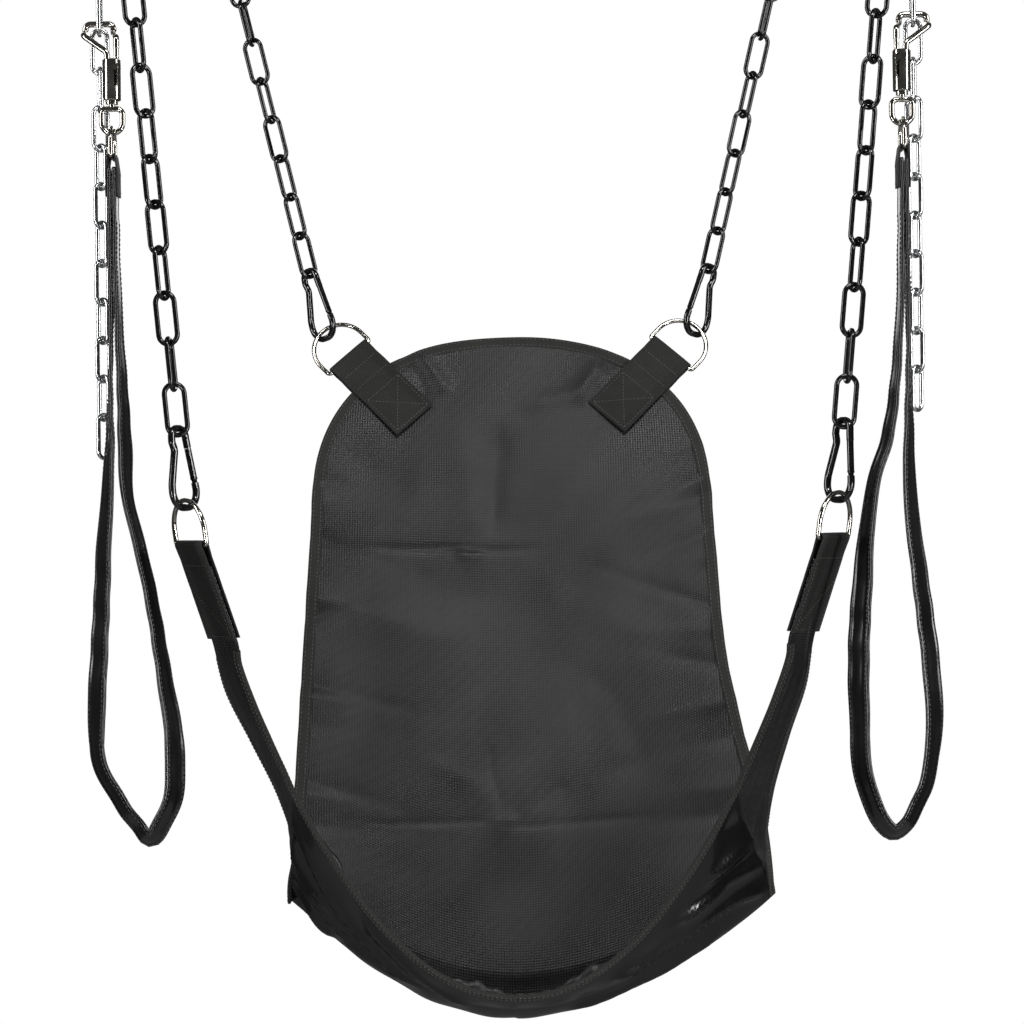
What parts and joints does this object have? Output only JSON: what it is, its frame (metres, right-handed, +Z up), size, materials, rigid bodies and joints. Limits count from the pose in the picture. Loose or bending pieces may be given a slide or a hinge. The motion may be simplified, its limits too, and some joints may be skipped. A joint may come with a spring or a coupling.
{
  "type": "hanging sling seat",
  "caption": "Fabric sling seat hung on four chains with carabiners, with two strap loops on swivel snap hooks hanging beside it.",
  "frame": {"origin": "centre of the four ceiling hooks, on the ceiling plane that their plates are screwed to", "axes": "+Z up, the sling's open front faces -Y, +X is to the right when the sling is seen from the front"},
  "size_m": [0.749, 0.446, 1.0949],
  "materials": {
    "black_chain": "gloss black paint",
    "black_carabiner": "gloss black coating",
    "nickel": "polished nickel",
    "bright_zinc": "bright zinc plate",
    "spring_steel": "spring wire",
    "hook_steel": "satin black",
    "woven_nylon": "plain woven nylon, slight sheen",
    "coated_cloth": "smooth glossy leather-look coated cloth",
    "webbing": "dense black webbing",
    "tape": "black binding tape"
  },
  "bodies": {
    "ceiling_hooks": {"rear_left_ceiling_hook": "hook_steel", "rear_right_ceiling_hook": "hook_steel", "front_left_ceiling_hook": "hook_steel", "front_right_ceiling_hook": "hook_steel"},
    "rear_chains": {"rear_left_chain": "black_chain", "rear_left_carabiner": "black_carabiner", "rear_left_gate_pin": "nickel", "rear_right_chain": "black_chain", "rear_right_carabiner": "black_carabiner", "rear_right_gate_pin": "nickel"},
    "sling": {"woven_inner_ply": "woven_nylon", "glossy_outer_ply": "coated_cloth", "edge_binding": "tape", "front_piping": "tape", "left_side_hem": "coated_cloth", "right_side_hem": "coated_cloth", "rear_left_ring": "nickel", "rear_left_tab": "webbing", "rear_right_ring": "nickel", "rear_right_tab": "webbing", "front_left_ring": "nickel", "front_left_tab": "webbing", "front_right_ring": "nickel", "front_right_tab": "webbing"},
    "front_chains": {"front_left_chain": "black_chain", "front_left_carabiner": "black_carabiner", "front_left_gate_pin": "nickel", "front_right_chain": "black_chain", "front_right_carabiner": "black_carabiner", "front_right_gate_pin": "nickel"},
    "rear_left_gate": {"rear_left_gate": "black_carabiner", "rear_left_gate_spring": "spring_steel"},
    "rear_right_gate": {"rear_right_gate": "black_carabiner", "rear_right_gate_spring": "spring_steel"},
    "front_left_gate": {"front_left_gate": "black_carabiner", "front_left_gate_spring": "spring_steel"},
    "front_right_gate": {"front_right_gate": "black_carabiner", "front_right_gate_spring": "spring_steel"},
    "left_top_link": {"left_bright_top_link": "bright_zinc"},
    "left_bright_chain": {"left_bright_chain": "bright_zinc"},
    "left_tail": {"left_chain_tail": "bright_zinc"},
    "left_snap": {"left_snap_body": "nickel", "left_snap_spring": "spring_steel", "left_swivel_washer": "nickel"},
    "left_bolt": {"left_snap_bolt": "nickel"},
    "left_swivel": {"left_swivel_eye": "nickel"},
    "left_loop": {"left_loop_ring": "nickel", "left_loop_tab": "webbing", "left_loop_strap": "coated_cloth"},
    "right_top_link": {"right_bright_top_link": "bright_zinc"},
    "right_bright_chain": {"right_bright_chain": "bright_zinc"},
    "right_tail": {"right_chain_tail": "bright_zinc"},
    "right_snap": {"right_snap_body": "nickel", "right_snap_spring": "spring_steel", "right_swivel_washer": "nickel"},
    "right_bolt": {"right_snap_bolt": "nickel"},
    "right_swivel": {"right_swivel_eye": "nickel"},
    "right_loop": {"right_loop_ring": "nickel", "right_loop_tab": "webbing", "right_loop_strap": "coated_cloth"}
  },
  "joints": [
    {"name": "rear_swing", "type": "hinge", "parent": "ceiling_hooks", "child": "rear_chains", "pos_m": [0, 0.19997, -0.0434], "axis": [1, 0, 0], "range_deg": [-12, 12]},
    {"name": "sling_level", "type": "hinge", "parent": "rear_chains", "child": "sling", "pos_m": [0, 0.19997, -0.4491], "axis": [1, 0, 0], "range_deg": [-12, 12]},
    {"name": "front_swing", "type": "hinge", "parent": "ceiling_hooks", "child": "front_chains", "pos_m": [0, -0.19, -0.0434], "axis": [1, 0, 0], "range_deg": [-9, 9]},
    {"name": "rear_left_gate_hinge", "type": "hinge", "parent": "rear_chains", "child": "rear_left_gate", "pos_m": [-0.18058, 0.18775, -0.42784], "axis": [-0.7453, -0.6428, -0.1772], "range_deg": [0, 25], "stiffness_Nm_per_rad": 0.06, "springref_deg": -17.19},
    {"name": "rear_right_gate_hinge", "type": "hinge", "parent": "rear_chains", "child": "rear_right_gate", "pos_m": [0.18058, 0.18775, -0.42784], "axis": [-0.7453, 0.6428, 0.1772], "range_deg": [0, 25], "stiffness_Nm_per_rad": 0.06, "springref_deg": -17.19},
    {"name": "front_left_gate_hinge", "type": "hinge", "parent": "front_chains", "child": "front_left_gate", "pos_m": [-0.27895, -0.17619, -0.59803], "axis": [0.8624, -0.5, 0.0789], "range_deg": [0, 25], "stiffness_Nm_per_rad": 0.06, "springref_deg": -17.19},
    {"name": "front_right_gate_hinge", "type": "hinge", "parent": "front_chains", "child": "front_right_gate", "pos_m": [0.29483, -0.20381, -0.59948], "axis": [-0.8624, -0.5, 0.0789], "range_deg": [0, 25], "stiffness_Nm_per_rad": 0.06, "springref_deg": -17.19},
    {"name": "left_bright_swing", "type": "hinge", "parent": "ceiling_hooks", "child": "left_top_link", "pos_m": [-0.355, -0.19, -0.0434], "axis": [1, 0, 0], "range_deg": [-10, 10]},
    {"name": "left_bright_sway", "type": "hinge", "parent": "left_top_link", "child": "left_bright_chain", "pos_m": [-0.355, -0.19, -0.0757], "axis": [0, 1, 0], "range_deg": [0, 10]},
    {"name": "left_tail_swing", "type": "hinge", "parent": "left_bright_chain", "child": "left_tail", "pos_m": [-0.355, -0.19, -0.2101], "axis": [0, 1, 0], "range_deg": [-0.5, 15]},
    {"name": "left_snap_swing", "type": "hinge", "parent": "left_bright_chain", "child": "left_snap", "pos_m": [-0.355, -0.19, -0.2008], "axis": [1, 0, 0], "range_deg": [-20, 0]},
    {"name": "left_bolt_slide", "type": "slide", "parent": "left_snap", "child": "left_bolt", "axis": [0, 0, -1], "range_m": [0, 0.008], "stiffness_N_per_m": 400, "springref_m": -0.004, "deforming": ["left_snap_spring"]},
    {"name": "left_swivel_turn", "type": "hinge", "parent": "left_snap", "child": "left_swivel", "pos_m": [-0.342, -0.212, -0.27], "axis": [0, 0, 1], "continuous": true},
    {"name": "left_loop_swing", "type": "hinge", "parent": "left_swivel", "child": "left_loop", "pos_m": [-0.342, -0.212, -0.2988], "axis": [1, 0, 0], "range_deg": [-25, 0.5]},
    {"name": "right_bright_swing", "type": "hinge", "parent": "ceiling_hooks", "child": "right_top_link", "pos_m": [0.355, -0.19, -0.0434], "axis": [1, 0, 0], "range_deg": [-10, 10]},
    {"name": "right_bright_sway", "type": "hinge", "parent": "right_top_link", "child": "right_bright_chain", "pos_m": [0.355, -0.19, -0.0757], "axis": [0, 1, 0], "range_deg": [-10, 0]},
    {"name": "right_tail_swing", "type": "hinge", "parent": "right_bright_chain", "child": "right_tail", "pos_m": [0.355, -0.19, -0.2101], "axis": [0, 1, 0], "range_deg": [-15, 0.5]},
    {"name": "right_snap_swing", "type": "hinge", "parent": "right_bright_chain", "child": "right_snap", "pos_m": [0.355, -0.19, -0.2008], "axis": [1, 0, 0], "range_deg": [-20, 0]},
    {"name": "right_bolt_slide", "type": "slide", "parent": "right_snap", "child": "right_bolt", "axis": [0, 0, -1], "range_m": [0, 0.008], "stiffness_N_per_m": 400, "springref_m": -0.004, "deforming": ["right_snap_spring"]},
    {"name": "right_swivel_turn", "type": "hinge", "parent": "right_snap", "child": "right_swivel", "pos_m": [0.342, -0.212, -0.27], "axis": [0, 0, 1], "continuous": true},
    {"name": "right_loop_swing", "type": "hinge", "parent": "right_swivel", "child": "right_loop", "pos_m": [0.342, -0.212, -0.2988], "axis": [1, 0, 0], "range_deg": [-25, 0.5]}
  ],
  "couplings": [
    {"joint": "sling_level", "follows": "rear_swing", "ratio": -1},
    {"joint": "front_swing", "follows": "rear_swing", "ratio": 0.70436}
  ]
}
